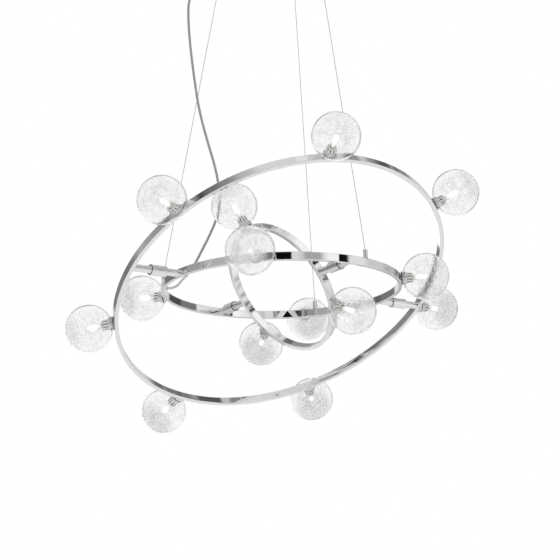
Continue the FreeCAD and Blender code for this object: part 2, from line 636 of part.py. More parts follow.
# Wire ends. The wires lie in straight lines between the two sets of grips.
WIRES = (("rear", V["wire_angle"]), ("left", V["wire_angle"] + 120.0), ("right", V["wire_angle"] + 240.0))
ring_grips, top_grips, wire_lines = [], [], []
for name, ang in WIRES:
    c, s = math.cos(math.radians(ang)), math.sin(math.radians(ang))
    foot = CENTRE + Vector(grip_r.v * c, grip_r.v * s, V["tube_height"] / 2)
    head = Vector(V["wire_spread"] * c, V["wire_spread"] * s, -V["canopy_height"])
    # grip on the ring: threaded foot, body, slanted well for the wire
    h, r = V["ring_grip_height"], V["ring_grip_radius"]
    g = Part.makeCylinder(2.0, 3.0, foot - Vector(0, 0, 1.6))
    g = g.fuse(Part.makeCylinder(r, h - 0.6, foot + Vector(0, 0, 0.02)))
    g = g.fuse(Part.makeCone(r, r - 0.6, 0.6, foot + Vector(0, 0, h - 0.58)))
    top = foot + Vector(0, 0, 14.0)
    direction = head - Vector(0, 0, 14.0) - top
    direction.normalize()
    well = Part.makeCylinder(V["wire_radius"] + 0.05, 9.0, top - direction * 3.0, direction)
    g = g.cut(well).removeSplitter()
    ring_grips.append(g)
    # grip in the canopy: hollow body below the pan, nut above it
    t = Part.makeCylinder(3.0, 8.0, head - Vector(0, 0, 2.0))
    t = t.fuse(Part.makeCylinder(5.0, 3.0, head - Vector(0, 0, 3.02)))
    t = t.fuse(Part.makeCylinder(3.8, 9.0, head - Vector(0, 0, 12.0)))
    t = t.fuse(Part.makeCone(2.0, 3.8, 2.5, head - Vector(0, 0, 14.5)))
    t = t.fuse(Part.makeCylinder(5.5, 3.0, head + Vector(0, 0, V["canopy_wall"] + 0.02)))
    mouth = head - Vector(0, 0, 13.0)
    well = Part.makeCylinder(V["wire_radius"] + 0.05, 9.0, mouth + direction * 3.0, direction * -1.0)
    t = t.cut(well).removeSplitter()
    top_grips.append(t)
    a, b = top - direction * 2.8, mouth + direction * 2.8
    wire = doc.addObject("Part::Cylinder", "suspension_wire_" + name)
    wire.Label = "suspension_wire_" + name
    wire.setExpression("Radius", "Params.wire_radius")
    wire.Height = (b - a).Length
    wire.Placement = Placement(a, Rotation(Vector(0, 0, 1), b - a))
    nodes[wire.Label] = wire
    wire_lines.append((name, a, b))
for label, solids in (("ring_wire_grips", ring_grips), ("ceiling_wire_grips", top_grips)):
    feature = doc.addObject("Part::Feature", label)
    feature.Label = label
    feature.Shape = Part.makeCompound(solids)
    nodes[label] = feature

# Gland in the middle ring's inner face; local +X points out from the centre.
gland_face = M_IN
gl = q("gland_length")
turned("ring_cord_gland", MIDDLE * turn(V["gland_angle"]),
       [(gland_face - gl, q("cord_radius") + 0.05), (gland_face - gl, Q.of(3.3)), (gland_face - gl + 4.0, q("gland_radius")),
        (gland_face - 0.12, q("gland_radius")), (gland_face - 0.12, Q.of(3.5)), (gland_face + 1.5, Q.of(3.5)), (gland_face + 1.5, q("cord_radius") + 0.05)])

# ---------------------------------------------------------------- power cord
# The route's points from the gland in the ring up to the grip in the canopy.
out = Vector(math.cos(math.radians(V["gland_angle"])), math.sin(math.radians(V["gland_angle"])), 0)
ROUTE = [
    CENTRE + out * 221.0,
    CENTRE + out * 211.5,
    CENTRE + Vector(-176.5, 95.8, 5.2),
    CENTRE + Vector(-170.3, 93.0, 14.6),
    CENTRE + Vector(-158.4, 92.5, 26.5),
    CENTRE + Vector(-141.6, 89.9, 50.0),
    CENTRE + Vector(-124.5, 90.0, 81.0),
    CENTRE + Vector(-107.0, 89.5, 113.0),
    CENTRE + Vector(-90.5, 87.5, 150.0),
    CENTRE + Vector(-82.0, 87.5, 195.0),
    CENTRE + Vector(-86.1, 92.8, 249.7),
    CENTRE + Vector(-100.2, 100.5, 309.2),
    CENTRE + Vector(-116.1, 105.2, 373.7),
    CENTRE + Vector(-128.2, 103.5, 442.6),
    CENTRE + Vector(-139.3, 98.8, 510.0),
    CENTRE + Vector(-146.5, 93.0, 563.0),
    CENTRE + Vector(-148.0, 88.0, 602.3),
    CENTRE + Vector(-139.7, 81.9, 620.1),
    CENTRE + Vector(-125.4, 71.3, 630.4),
    CENTRE + Vector(-108.9, 59.0, 630.6),
    CENTRE + Vector(-94.6, 48.4, 640.9),
    CENTRE + Vector(-86.0, 42.0, 658.5),
    CENTRE + Vector(-86.0, 42.0, 679.0),
]


def tube(points, radius, name):
    """A tube along straight runs joined by tangent arcs, each as large as its two runs allow."""
    edges, at, length, radii = [], points[0], 0.0, []
    for i in range(1, len(points) - 1):
        a, p, b = points[i - 1], points[i], points[i + 1]
        u, w = (p - a), (b - p)
        lu, lw = u.Length, w.Length
        u, w = u * (1.0 / lu), w * (1.0 / lw)
        ang = math.acos(max(-1.0, min(1.0, u.dot(w))))
        cut = 0.45 * min(lu, lw)
        rad = cut / math.tan(ang / 2)
        radii.append((round(rad, 1), round(math.degrees(ang), 1), round(lu, 1)))
        p0, p1 = p - u * cut, p + w * cut
        bis = (w - u)
        bis.normalize()
        mid = p + bis * (rad / math.cos(ang / 2) - rad)
        edges.append(Part.LineSegment(at, p0).toShape())
        edges.append(Part.Arc(p0, mid, p1).toShape())
        length += (p0 - at).Length + rad * ang
        at = p1
    edges.append(Part.LineSegment(at, points[-1]).toShape())
    length += (points[-1] - at).Length
    path = Part.Wire(edges)
    start = (points[1] - points[0])
    circle = Part.Wire(Part.Circle(points[0], start, radius).toShape())
    solid = path.makePipeShell([circle], True, False)
    print("%s: length %.1f mm, volume ratio %.4f" % (name, length, solid.Volume / (math.pi * radius ** 2 * length)))
    print("%s: radius, turn, run before:" % name, radii, "last run", round((points[-1] - points[-2]).Length, 1))
    return solid


cord = doc.addObject("Part::Feature", "power_cord")
cord.Label = "power_cord"
cord.Shape = tube(ROUTE, V["cord_radius"], "power_cord")
nodes["power_cord"] = cord

# ---------------------------------------------------------------- check and write
doc.recompute()
bad = []
for obj in doc.Objects:
    if any(state in ("Invalid", "Error") for state in obj.State):
        bad.append("%s: %s" % (obj.Label, obj.State))
for label, obj in nodes.items():
    if obj.Shape.isNull() or not obj.Shape.isValid() or not obj.Shape.Solids:
        bad.append("%s: shape" % label)
if bad:
    raise RuntimeError("; ".join(bad))
os.makedirs("parts", exist_ok=True)
for label, obj in sorted(nodes.items()):
    obj.Shape.exportStep(os.path.join("parts", label + ".step"))
    print("%-26s solids %d volume %.0f" % (label, len(obj.Shape.Solids), obj.Shape.Volume))
print(len(nodes), "nodes")
for name, a, b in wire_lines:
    print("wire", name, [round(c, 2) for c in a], [round(c, 2) for c in b])
print("route", [[round(c, 2) for c in p] for p in ROUTE])
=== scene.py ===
import math

import bpy
import numpy as np
from mathutils import Matrix, Vector


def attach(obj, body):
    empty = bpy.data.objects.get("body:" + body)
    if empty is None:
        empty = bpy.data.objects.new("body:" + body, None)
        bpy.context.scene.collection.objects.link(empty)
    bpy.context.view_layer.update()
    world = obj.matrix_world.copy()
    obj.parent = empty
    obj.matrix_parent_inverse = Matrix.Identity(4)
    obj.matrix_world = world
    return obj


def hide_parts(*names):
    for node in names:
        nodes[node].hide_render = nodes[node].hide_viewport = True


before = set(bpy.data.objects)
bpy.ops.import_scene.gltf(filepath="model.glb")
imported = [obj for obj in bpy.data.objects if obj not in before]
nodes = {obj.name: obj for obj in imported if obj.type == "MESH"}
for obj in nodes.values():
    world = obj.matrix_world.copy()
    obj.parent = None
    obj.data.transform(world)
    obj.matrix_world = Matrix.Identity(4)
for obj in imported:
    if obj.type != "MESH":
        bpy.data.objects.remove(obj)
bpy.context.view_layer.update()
scene = bpy.context.scene
MM = 0.001
C = Vector((0.0, 0.020, -0.720))


# ------------------------------------------------------------------ camera
def rot(axis, degrees):
    return Matrix.Rotation(math.radians(degrees), 3, axis)


DISTANCE, BELOW = 3.21928, math.radians(14.22)
turn = rot("Z", -33.84)
basis = turn @ rot("Z", 0.05) @ rot("X", 14.48) @ rot("Y", 1.62)
cam_data = bpy.data.cameras.new("camera")
cam_data.sensor_width = 36.0
cam_data.lens = 1659.43 / 560.0 * 36.0
cam_data.clip_start, cam_data.clip_end = 0.05, 60.0
cam = bpy.data.objects.new("camera", cam_data)
scene.collection.objects.link(cam)
right, forward, up = (basis @ Vector(v) for v in ((1, 0, 0), (0, 1, 0), (0, 0, 1)))
place = turn @ Vector((0, -DISTANCE * math.cos(BELOW), -DISTANCE * math.sin(BELOW))) + C
m = Matrix((right, up, -forward)).transposed().to_4x4()
m.translation = place
cam.matrix_world = m
scene.camera = cam
scene.view_settings.view_transform = "Standard"
scene.view_settings.look = "None"


# ------------------------------------------------------------------ node helpers
class Nodes:
    """A short hand for a node tree."""

    def __init__(self, tree):
        self.t = tree

    def new(self, kind, **sockets):
        n = self.t.nodes.new(kind)
        for key, value in sockets.items():
            key = key.replace("_", " ")
            if key in n.inputs:
                self.set(n.inputs[key], value)
        return n

    def set(self, socket, value):
        if isinstance(value, bpy.types.NodeSocket):
            self.t.links.new(value, socket)
        else:
            socket.default_value = value

    def math(self, op, a, b=None, c=None, clamp=False):
        n = self.t.nodes.new("ShaderNodeMath")
        n.operation = op
        n.use_clamp = clamp
        for i, v in enumerate((a, b, c)):
            if v is not None:
                self.set(n.inputs[i], v)
        return n.outputs[0]

    def smooth(self, value, low, high, to_low=0.0, to_high=1.0):
        n = self.t.nodes.new("ShaderNodeMapRange")
        n.interpolation_type = "SMOOTHSTEP"
        for i, v in enumerate((value, low, high, to_low, to_high)):
            self.set(n.inputs[i], v)
        return n.outputs[0]

    def linear(self, value, low, high, to_low=0.0, to_high=1.0):
        n = self.t.nodes.new("ShaderNodeMapRange")
        for i, v in enumerate((value, low, high, to_low, to_high)):
            self.set(n.inputs[i], v)
        return n.outputs[0]

    def mix(self, factor, a, b):
        n = self.t.nodes.new("ShaderNodeMix")
        n.data_type = "RGBA"
        for i, v in ((0, factor), (6, a), (7, b)):
            self.set(n.inputs[i], v)
        return n.outputs[2]

    def noise(self, vector, scale, detail=3.0, rough=0.5, distortion=0.0):
        n = self.new("ShaderNodeTexNoise", Scale=scale, Detail=detail, Roughness=rough, Distortion=distortion)
        self.set(n.inputs["Vector"], vector)
        return n

    def voronoi(self, vector, scale, feature="DISTANCE_TO_EDGE"):
        n = self.t.nodes.new("ShaderNodeTexVoronoi")
        n.feature = feature
        n.inputs["Scale"].default_value = scale
        self.set(n.inputs["Vector"], vector)
        return n

    def bump(self, height, strength, distance, normal=None):
        n = self.new("ShaderNodeBump", Strength=strength, Distance=distance)
        self.set(n.inputs["Height"], height)
        if normal is not None:
            self.set(n.inputs["Normal"], normal)
        return n.outputs[0]


def material(name):
    mat = bpy.data.materials.new(name)
    mat.use_nodes = True
    mat.node_tree.nodes.clear()
    n = Nodes(mat.node_tree)
    out = n.new("ShaderNodeOutputMaterial")
    shader = n.new("ShaderNodeBsdfPrincipled")
    n.t.links.new(shader.outputs[0], out.inputs["Surface"])
    where = n.new("ShaderNodeTexCoord").outputs["Object"]
    return mat, n, shader, where


def wear(n, where, scale, low, high, detail=3.0):
    """A soft mottle between two numbers."""
    return n.linear(n.noise(where, scale, detail).outputs["Fac"], 0.3, 0.7, low, high)


def chrome(name, tint=0.93, rough=(0.012, 0.035), wave=0.000006):
    mat, n, s, where = material(name)
    s.inputs["Metallic"].default_value = 1.0
    haze = n.noise(where, 38.0, 4.0).outputs["Fac"]
    n.set(s.inputs["Base Color"], n.mix(n.linear(haze, 0.3, 0.7), (tint - 0.025, tint - 0.02, tint - 0.018, 1), (tint, tint + 0.002, tint + 0.004, 1)))
    n.set(s.inputs["Roughness"], wear(n, where, 90.0, rough[0], rough[1]))
    broad = n.noise(where, 30.0, 1.0).outputs["Fac"]
    fine = n.noise(where, 700.0, 2.0).outputs["Fac"]
    n.set(s.inputs["Normal"], n.bump(n.math("MULTIPLY_ADD", fine, 0.02, broad), 1.0, wave))
    return mat


def plastic(name, colour, dark, rough=(0.35, 0.55), grain=900.0, depth=0.00004, **extra):
    mat, n, s, where = material(name)
    blotch = n.noise(where, 60.0, 4.0).outputs["Fac"]
    n.set(s.inputs["Base Color"], n.mix(n.linear(blotch, 0.3, 0.7), (*dark, 1), (*colour, 1)))
    n.set(s.inputs["Roughness"], wear(n, where, 150.0, rough[0], rough[1]))
    n.set(s.inputs["Normal"], n.bump(n.noise(where, grain, 3.0).outputs["Fac"], 0.5, depth))
    for key, value in extra.items():
        s.inputs[key.replace("_", " ")].default_value = value
    return mat


# ------------------------------------------------------------------ mesh helpers
def mesh_object(name, verts, faces, mat, body, slot=None, smooth=True, angle=32.0):
    me = bpy.data.meshes.new(name)
    me.from_pydata([tuple(v) for v in verts], [], [tuple(f) for f in faces])
    me.validate()
    me.update()
    if smooth:
        me.shade_smooth()
        me.set_sharp_from_angle(angle=math.radians(angle))
    me.materials.append(mat)
    o = bpy.data.objects.new(name, me)
    scene.collection.objects.link(o)
    if body:
        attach(o, body)
    return o


def lathe(profile, seg, shape=None, closed=False):
    """Turns (height, radius) pairs about local Z. shape(angle, height, radius) may return another radius."""
    verts, faces, rings = [], [], []
    for z, r in profile:
        if r < 1e-7:
            rings.append([len(verts)])
            verts.append((0.0, 0.0, z))
            continue
        ring = []
        for i in range(seg):
            a = 2 * math.pi * i / seg
            rr = shape(a, z, r) if shape else r
            ring.append(len(verts))
            verts.append((rr * math.cos(a), rr * math.sin(a), z))
        rings.append(ring)
    pairs = list(zip(rings, rings[1:])) + ([(rings[-1], rings[0])] if closed else [])
    for a, b in pairs:
        for i in range(seg):
            j = (i + 1) % seg
            if len(a) == 1 and len(b) == 1:
                continue
            if len(a) == 1:
                faces.append((a[0], b[j], b[i]))
            elif len(b) == 1:
                faces.append((a[i], a[j], b[0]))
            else:
                faces.append((a[i], a[j], b[j], b[i]))
    return outward(verts, faces)


def sweep(points, section, twist=0.0, caps=True):
    """A closed section of (x, y) pairs carried along points, turning by twist radians per metre."""
    p = np.array(points, float)
    d = np.gradient(p, axis=0)
    d /= np.linalg.norm(d, axis=1)[:, None]
    side = np.cross(d[0], (0.3, 0.9, 0.1))
    side /= np.linalg.norm(side)
    verts, faces, k, run = [], [], len(section), 0.0
    for i in range(len(p)):
        side = side - d[i] * (side @ d[i])
        side /= np.linalg.norm(side)
        other = np.cross(d[i], side)
        if i:
            run += np.linalg.norm(p[i] - p[i - 1])
        c, s = math.cos(twist * run), math.sin(twist * run)
        for x, y in section:
            verts.append(p[i] + side * (x * c - y * s) + other * (x * s + y * c))
    for i in range(len(p) - 1):
        for j in range(k):
            a, b = i * k + j, i * k + (j + 1) % k
            faces.append((a, b, b + k, a + k))
    if caps:
        faces.append(tuple(range(k))[::-1])
        faces.append(tuple((len(p) - 1) * k + j for j in range(k)))
    return outward(verts, faces)


def frame_of(axis, origin, spin=0.0):
    """A matrix whose Z points along axis, at origin."""
    q = Vector(axis).to_track_quat("Z", "Y")
    return Matrix.Translation(origin) @ q.to_matrix().to_4x4() @ Matrix.Rotation(spin, 4, "Z")


def outward(verts, faces):
    """Turns every face over if the closed shape is inside out."""
    v = np.asarray(verts, float)
    fans = np.array([(f[0], f[i], f[i + 1]) for f in faces for i in range(1, len(f) - 1)])
    volume = np.einsum("ij,ij->i", v[fans[:, 0]], np.cross(v[fans[:, 1]], v[fans[:, 2]])).sum()
    return (v, faces) if volume > 0 else (v, [tuple(reversed(f)) for f in faces])


def moved(verts, matrix):
    a = np.array(matrix)
    return np.array(verts) @ a[:3, :3].T + a[:3, 3]


def joined(parts):
    verts, faces, base = [], [], 0
    for v, f in parts:
        verts.append(v)
        faces += [tuple(i + base for i in face) for face in f]
        base += len(v)
    return np.concatenate(verts), faces


# ------------------------------------------------------------------ materials
CHROME = chrome("chrome")
CHROME_FINE = chrome("chrome_turned", 0.92, (0.03, 0.08), 0.00002)
CANOPY = chrome("canopy_chrome", 0.90, (0.03, 0.10), 0.00005)

# ------------------------------------------------------------------ the power cord
ROUTE = [
    (-193.66, 126.47, -720.0), (-185.34, 121.89, -720.0), (-176.5, 115.8, -714.8), (-170.3, 113.0, -705.4),
    (-158.4, 112.5, -693.5), (-141.6, 109.9, -670.0), (-124.5, 110.0, -639.0), (-107.0, 109.5, -607.0),
    (-90.5, 107.5, -570.0), (-82.0, 107.5, -525.0), (-86.1, 112.8, -470.3), (-100.2, 120.5, -410.8),
    (-116.1, 125.2, -346.3), (-128.2, 123.5, -277.4), (-139.3, 118.8, -210.0), (-146.5, 113.0, -157.0),
    (-148.0, 108.0, -117.7), (-139.7, 101.9, -99.9), (-125.4, 91.3, -89.6), (-108.9, 79.0, -89.4),
    (-94.6, 68.4, -79.1), (-86.0, 62.0, -61.5), (-86.0, 62.0, -41.0),
]


def nurbs(name, points, radius):
    cu = bpy.data.curves.new(name, "CURVE")
    cu.dimensions = "3D"
    sp = cu.splines.new("NURBS")
    sp.points.add(len(points) - 1)
    for p, q in zip(sp.points, points):
        p.co = (q[0] * MM, q[1] * MM, q[2] * MM, 1.0)
    sp.order_u = 3
    sp.use_endpoint_u = True
    cu.resolution_u = 16
    cu.bevel_depth = radius
    cu.bevel_resolution = 5
    cu.use_fill_caps = True
    o = bpy.data.objects.new(name, cu)
    scene.collection.objects.link(o)
    return o


def route_line(name, points):
    """Points along a route's own spline, read from it with no bevel."""
    o = nurbs(name + "_line", points, 0.0)
    o.data.resolution_u = 12
    bpy.context.view_layer.update()
    me = bpy.data.meshes.new_from_object(o.evaluated_get(bpy.context.evaluated_depsgraph_get()))
    line = np.array([v.co for v in me.vertices], float)
    bpy.data.meshes.remove(me)
    bpy.data.objects.remove(o)
    keep = [0]
    for i in range(1, len(line)):
        if np.linalg.norm(line[i] - line[keep[-1]]) > 1e-5:
            keep.append(i)
    return line[keep]


def clear_sheath():
    mat, n, s, where = material("clear_sheath")
    tail = n.new("ShaderNodeSeparateXYZ")
    n.set(tail.inputs[0], where)
    grey = n.mix(n.noise(where, 60.0, 3.0).outputs["Fac"], (0.44, 0.45, 0.45, 1), (0.56, 0.57, 0.57, 1))
    n.set(s.inputs["Base Color"], n.mix(n.smooth(tail.outputs[2], -0.705, -0.68, 1.0, 0.0), grey, (0.84, 0.85, 0.85, 1)))
    n.set(s.inputs["Roughness"], wear(n, where, 120.0, 0.22, 0.34))
    s.inputs["Transmission Weight"].default_value = 0.45
    s.inputs["IOR"].default_value = 1.35
    n.set(s.inputs["Normal"], n.bump(n.noise(where, 260.0, 2.0).outputs["Fac"], 0.3, 0.00003))
    return mat


sheath = nurbs("power_cord_sheath", ROUTE, 0.0025)
sheath.data.materials.append(clear_sheath())
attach(sheath, "frame")
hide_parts("power_cord")
line = route_line("power_cord", ROUTE)
core_parts = []
for k in range(3):
    a = 2 * math.pi * k / 3
    cx, cy = 0.00105 * math.cos(a), 0.00105 * math.sin(a)
    core_parts.append(sweep(line[2:-2], [(cx + 0.0009 * math.cos(t), cy + 0.0009 * math.sin(t)) for t in np.linspace(0, 2 * math.pi, 8, endpoint=False)], 2 * math.pi / 0.030))
core_mat, n, s, where = material("tinned_cores")
tail = n.new("ShaderNodeSeparateXYZ")
n.set(tail.inputs[0], where)
tinned = n.mix(n.noise(where, 120.0, 3.0).outputs["Fac"], (0.50, 0.50, 0.50, 1), (0.62, 0.62, 0.61, 1))
n.set(s.inputs["Base Color"], n.mix(n.smooth(tail.outputs[2], -0.705, -0.68, 1.0, 0.0), tinned, (0.86, 0.86, 0.85, 1)))
n.set(s.inputs["Roughness"], wear(n, where, 200.0, 0.5, 0.65))
s.inputs["Metallic"].default_value = 0.25
cores = mesh_object("power_cord_cores", *joined(core_parts), core_mat, "frame", "cord_plastic", angle=80)

# ------------------------------------------------------------------ suspension wires
WIRES = {
    "rear": ((179.13, 165.14, -700.74), (85.88, 69.46, -40.26)),
    "left": ((-215.19, 102.69, -700.75), (-103.16, 39.52, -40.25)),
    "right": ((36.06, -207.58, -700.77), (17.29, -109.22, -40.23)),
}
wire_mat, n, s, where = material("wire_steel")
s.inputs["Metallic"].default_value = 1.0
n.set(s.inputs["Base Color"], n.mix(n.noise(where, 700.0, 2.0).outputs["Fac"], (0.44, 0.44, 0.44, 1), (0.66, 0.66, 0.66, 1)))
n.set(s.inputs["Roughness"], wear(n, where, 500.0, 0.22, 0.4))
lobes = []
for k in range(6):
    a = 2 * math.pi * k / 6
    for t in (-50, 0, 50):
        b = a + math.radians(t)
        lobes.append((0.0004 * math.cos(a) + 0.0002 * math.cos(b), 0.0004 * math.sin(a) + 0.0002 * math.sin(b)))
for key, (a, b) in WIRES.items():
    a, b = np.array(a) * MM, np.array(b) * MM
    length = float(np.linalg.norm(b - a))
    steps = int(length / 0.0009)
    path = [a + (b - a) * t for t in np.linspace(0, 1, steps)]
    o = mesh_object("suspension_wire_%s_strands" % key, *sweep(path, lobes, 2 * math.pi / 0.009), wire_mat, "frame", "wire_steel", angle=80)
    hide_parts("suspension_wire_" + key)

spline_length = float(np.linalg.norm(np.diff(line, axis=0), axis=1).sum())


# ------------------------------------------------------------------ lamps
def circle_frames(kind):
    """Every lamp of a ring: direction from the centre, in the row frame."""
    if kind == "outer":
        a, t, count, first, radius = Vector((1, 0, 0)), math.radians(-32), 7, 0.0, 335.5
        b = Vector((0, math.cos(t), math.sin(t)))
    elif kind == "middle":
        a, b, count, first, radius = Vector((1, 0, 0)), Vector((0, 1, 0)), 4, 45.0, 234.0
    else:
        a, t, count, first, radius = Vector((0, -1, 0)), math.radians(-55), 3, 30.0, 135.5
        b = Vector((math.cos(t), 0, math.sin(t)))
    found = []
    for k in range(count):
        g = math.radians(first + 360.0 * k / count)
        axis = a * math.cos(g) + b * math.sin(g)
        found.append((axis, C + axis * radius * MM))
    return found


def sphere_arc(radius, low_radius, count, centre=46.8):
    """From the top down to where the sphere's radius is low_radius, near its foot."""
    stop = math.pi - math.asin(low_radius / radius)
    return [(centre + radius * math.cos(stop * i / count), radius * math.sin(stop * i / count)) for i in range(count + 1)]


outside = sphere_arc(45.0, 12.6, 56)
inside = sphere_arc(43.0, 12.9, 52)
lip = [(3.62, 12.0), (3.75, 11.3), (4.15, 10.7), (4.8, 10.35), (7.0, 10.3), (9.0, 10.35), (9.45, 10.8), (9.5, 11.4), (9.2, 12.0), (8.2, 12.3), (6.4, 12.45)]
wall = outside + lip + inside[::-1]
wall = [(z * MM, max(r, 0.0) * MM) for z, r in wall]
wall[0] = (wall[0][0], 0.0)
wall[-1] = (wall[-1][0], 0.0)


def uneven(angle, z, r):
    """Hand-blown glass is never quite round: a slow ripple well under half a millimetre."""
    return r * (1.0 + 0.0016 * math.sin(3 * angle + 90 * z) * math.sin(160 * z + 1.3) + 0.001 * math.sin(5 * angle - 210 * z))


def crackled_glass():
    """Clear blown glass with fine threads spun into it: curved lines, mostly round the lamp's axis, over a soft speckle."""
    mat, n, s, where = material("crackled_glass")
    lamp = n.new("ShaderNodeAttribute")
    lamp.attribute_name = "lamp_frame"
    piece = n.new("ShaderNodeAttribute")
    piece.attribute_name = "glass_frame"
    where = piece.outputs["Vector"]
    s.inputs["IOR"].default_value = 1.10

    def placed(scale, turn=(0.0, 0.0, 0.0), move=(0.0, 0.0, 0.0)):
        m = n.new("ShaderNodeMapping")
        n.set(m.inputs["Vector"], where)
        m.inputs["Scale"].default_value = scale
        m.inputs["Rotation"].default_value = turn
        m.inputs["Location"].default_value = move
        return m.outputs[0]

    def threads(vector, scale, width):
        """1 on thin curved lines, 0 between them."""
        f = n.noise(vector, scale, 0.6, 0.4, 0.35).outputs["Fac"]
        off = n.math("ABSOLUTE", n.math("SUBTRACT", f, 0.5))
        return n.smooth(off, 0.0, width, 1.0, 0.0)

    dark = threads(placed((1.0, 1.0, 2.2)), 30.0, 0.028)
    for vector, scale, width in (
        (placed((1.0, 1.0, 1.8), (0.3, 0.2, 0.0), (0.3, 0.1, 0.2)), 38.0, 0.03),
        (placed((1.4, 0.8, 1.0), (0.6, 0.1, 0.5), (0.7, 0.2, 0.5)), 44.0, 0.03),
        (placed((1.0, 1.0, 1.6), (0.2, 0.7, 0.1), (0.4, 0.9, 0.6)), 72.0, 0.036),
    ):
        dark = n.math("MAXIMUM", dark, threads(vector, scale, width))
    # painted highlight: the pale threads are made clearer than the rest of the glass, standing in for the bulb's light
    # caught in them
    pale_threads_painted_glow = n.math("MAXIMUM", threads(placed((1.0, 1.0, 1.8), (0.6, 0.4, 0.0), (0.1, 0.8, 0.4)), 34.0, 0.035),
                  threads(placed((1.5, 0.9, 1.0), (0.5, 0.9, 0.4), (0.5, 0.3, 0.9)), 46.0, 0.035))
    speck = n.noise(where, 240.0, 2.0, 0.6).outputs["Fac"]
    patch = n.noise(where, 45.0, 2.0).outputs["Fac"]
    value = n.math("MULTIPLY_ADD", dark, -0.15, 0.99)
    value = n.math("MULTIPLY_ADD", pale_threads_painted_glow, 0.03, value)
    value = n.math("ADD", value, n.linear(speck, 0.25, 0.75, -0.055, 0.05))
    value = n.math("ADD", value, n.linear(patch, 0.3, 0.7, -0.012, 0.012))
    value = n.math("MINIMUM", value, 1.0)
    # painted light: the glass is made clearer towards the outline, where the view through the wall turns slanting, so
    # the globe's rim reads lighter
    outline_painted_light = n.smooth(n.new("ShaderNodeLayerWeight", Blend=0.5).outputs["Facing"], 0.2, 0.6, 0.0, 0.92)
    value = n.math("ADD", value, n.math("MULTIPLY", outline_painted_light, n.math("SUBTRACT", 1.0, value)))
    n.set(s.inputs["Base Color"], n.mix(value, (0.0, 0.0, 0.0, 1), (0.998, 1.0, 1.0, 1)))
    n.set(s.inputs["Roughness"], n.math("MULTIPLY_ADD", n.math("MAXIMUM", dark, pale_threads_painted_glow), 0.1, 0.02))
    height = n.math("MULTIPLY_ADD", dark, 0.5, n.math("MULTIPLY_ADD", pale_threads_painted_glow, 0.5, n.math("MULTIPLY", speck, 0.5)))
    n.set(s.inputs["Normal"], n.bump(height, n.linear(outline_painted_light, 0.0, 0.92, 0.55, 0.03), 0.0004))
    # the threads gather towards the far pole, where the glass turns milky
    up = n.new("ShaderNodeSeparateXYZ")
    n.set(up.inputs[0], lamp.outputs["Vector"])
    cap = n.smooth(up.outputs[2], 0.062, 0.087)
    n.set(s.inputs["Transmission Weight"], n.math("SUBTRACT", n.linear(patch, 0.3, 0.7, 0.965, 0.995), n.math("MULTIPLY", cap, 0.36)))
    return mat


GLASS = crackled_glass()
globe_verts, globe_faces = lathe(wall, 80, uneven)
for kind in ("outer", "middle", "inner"):
    for k, (axis, foot) in enumerate(circle_frames(kind)):
        name = "globe_%s_%d" % (kind, k + 1)
        fm = frame_of(axis, foot, 1.1 * k + {"outer": 0, "middle": 0.5, "inner": 2.0}[kind])
        o = mesh_object(name + "_glass", moved(globe_verts, fm), globe_faces, GLASS, "frame" if kind == "middle" else kind + "_ring", "globe_glass", angle=60)
        for label, shift in (("lamp_frame", 0.0), ("glass_frame", 0.053 * k + {"outer": 0.0, "middle": 0.38, "inner": 0.61}[kind])):
            own = o.data.attributes.new(label, "FLOAT_VECTOR", "POINT")
            own.data.foreach_set("vector", (np.array(globe_verts) + shift).astype(np.float32).ravel())
        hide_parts(name)

# ceramic lampholders
ceramic, n, s, where = material("holder_ceramic")
speck = n.noise(where, 900.0, 3.0).outputs["Fac"]
n.set(s.inputs["Base Color"], n.mix(n.linear(speck, 0.35, 0.65), (0.80, 0.79, 0.77, 1), (0.92, 0.91, 0.89, 1)))
n.set(s.inputs["Roughness"], wear(n, where, 350.0, 0.42, 0.62))
n.set(s.inputs["Normal"], n.bump(speck, 0.6, 0.00006))


def holder_shape(a, z, r):
    """Ten flutes run down the head, two of them deeper as keyways."""
    if r < 9.0 * MM or z < 12.6 * MM:
        return r
    near = abs(((a * 10 / (2 * math.pi)) + 0.5) % 1.0 - 0.5) * 2
    deep = 1.3 if abs(((a + math.pi / 2) % math.pi) - math.pi / 2) < 0.2 else 0.8
    t = max(0.0, min(1.0, (0.40 - near) / 0.14))
    return r - deep * MM * t * t * (3 - 2 * t)


# painted shade: the faces down in the lampholders' flutes get a dark grey material in place of the ceramic
flute_painted_shade, n, s, where = material("holder_flutes_painted_shade")
n.set(s.inputs["Base Color"], n.mix(n.noise(where, 700.0, 3.0).outputs["Fac"], (0.10, 0.10, 0.10, 1), (0.22, 0.21, 0.20, 1)))
n.set(s.inputs["Roughness"], wear(n, where, 400.0, 0.45, 0.7))
holder_profile = [(1.7, 2.5), (1.7, 8.0), (2.1, 8.45), (12.05, 8.45), (12.08, 9.2), (12.3, 9.65), (12.7, 9.7), (14.7, 9.7), (17.0, 9.7), (20.4, 9.7), (21.2, 9.55), (21.65, 9.1), (21.8, 8.6), (21.8, 7.2), (21.5, 6.6), (20.6, 6.4), (17.6, 6.4), (16.9, 5.9), (16.8, 2.5)]
pin_slots = []
for sgn in (1, -1):
    prof = [(16.82, 0.0), (16.82, 1.35), (17.9, 1.35), (18.1, 1.1), (18.1, 0.55), (16.9, 0.5), (16.9, 0.0)]
    v, f = lathe([(z * MM, r * MM) for z, r in prof], 14)
    pin_slots.append((v + np.array((sgn * 4.4 * MM, 0, 0)), f))
brass, n, s, where = material("contact_brass")
s.inputs["Metallic"].default_value = 1.0
n.set(s.inputs["Base Color"], n.mix(n.noise(where, 600.0, 3.0).outputs["Fac"], (0.62, 0.48, 0.22, 1), (0.80, 0.66, 0.36, 1)))
n.set(s.inputs["Roughness"], wear(n, where, 500.0, 0.2, 0.4))

# capsule bulbs: envelope with an exhaust tip, pinch, pins and a bright core
envelope = [(23.2, 0.0), (23.2, 3.2), (23.5, 4.6), (24.2, 5.35), (25.5, 5.6), (44.6, 5.6), (46.8, 5.25), (48.6, 4.35), (49.8, 3.0), (50.3, 1.7), (50.7, 1.2), (51.2, 0.85), (51.5, 0.0)]


